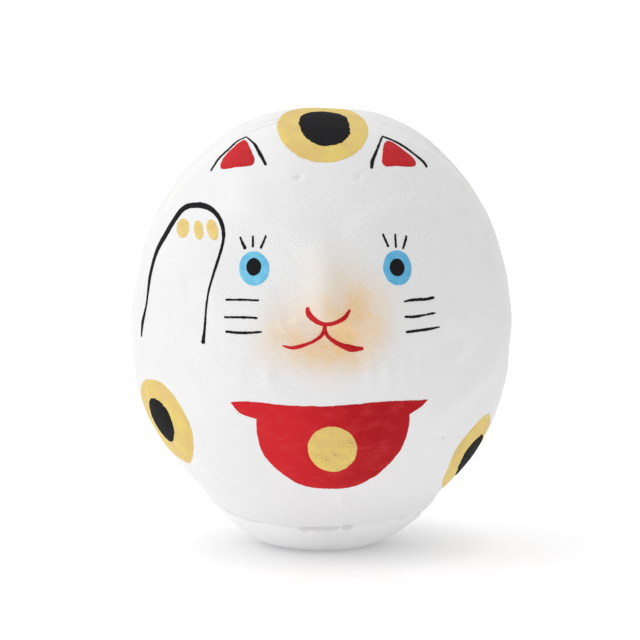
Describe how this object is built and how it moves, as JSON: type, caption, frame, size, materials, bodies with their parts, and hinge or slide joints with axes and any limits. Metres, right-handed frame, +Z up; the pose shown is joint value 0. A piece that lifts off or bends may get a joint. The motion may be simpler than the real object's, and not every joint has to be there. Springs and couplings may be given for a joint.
{
  "type": "daruma doll",
  "caption": "Egg-shaped papier-mache tumbler doll on a clay-weighted foot, painted as a beckoning cat with raised paw, bib and bell.",
  "frame": {"origin": "centre of the foot's flat underside, on the floor", "axes": "+Z up through the crown; the painted face looks along -Y; +X is to the right of someone facing the doll"},
  "size_m": [0.096, 0.0963, 0.1106],
  "materials": {
    "chalk_white_pulp": "moulded paper pulp under matte chalk-white paint, with the print of the mould's wire screen",
    "washi_paper": "strip of thin paper over the joint, painted white",
    "foot_white": "smooth pressed pulp under matte white paint",
    "raw_clay": "unfired clay, matte",
    "dried_glue": "dried glue, slightly glossy",
    "gold_paint": "satin gold poster paint with brush streaks",
    "black_paint": "satin black brush paint",
    "red_paint": "satin red brush paint",
    "blue_paint": "matte light blue brush paint"
  },
  "bodies": {
    "root": {"front_shell": "chalk_white_pulp", "back_shell": "chalk_white_pulp", "seam_strip": "washi_paper", "base_bowl": "foot_white", "clay_ballast": "raw_clay", "glue_seam": "dried_glue", "crown_spot_gold": "gold_paint", "crown_spot_black": "black_paint", "left_flank_spot_gold": "gold_paint", "left_flank_spot_black": "black_paint", "right_flank_spot_gold": "gold_paint", "right_flank_spot_black": "black_paint", "left_ear_outline": "black_paint", "right_ear_outline": "black_paint", "left_ear_red": "red_paint", "right_ear_red": "red_paint", "left_iris": "blue_paint", "left_pupil": "black_paint", "right_iris": "blue_paint", "right_pupil": "black_paint", "left_lash_1": "black_paint", "left_lash_2": "black_paint", "left_lash_3": "black_paint", "right_lash_1": "black_paint", "right_lash_2": "black_paint", "right_lash_3": "black_paint", "left_whisker_1": "black_paint", "left_whisker_2": "black_paint", "left_whisker_3": "black_paint", "right_whisker_1": "black_paint", "right_whisker_2": "black_paint", "right_whisker_3": "black_paint", "nose_mouth": "red_paint", "paw_outline": "black_paint", "paw_claw_1": "gold_paint", "paw_claw_2": "gold_paint", "paw_claw_3": "gold_paint", "bib": "red_paint", "bell": "gold_paint"}
  },
  "joints": []
}
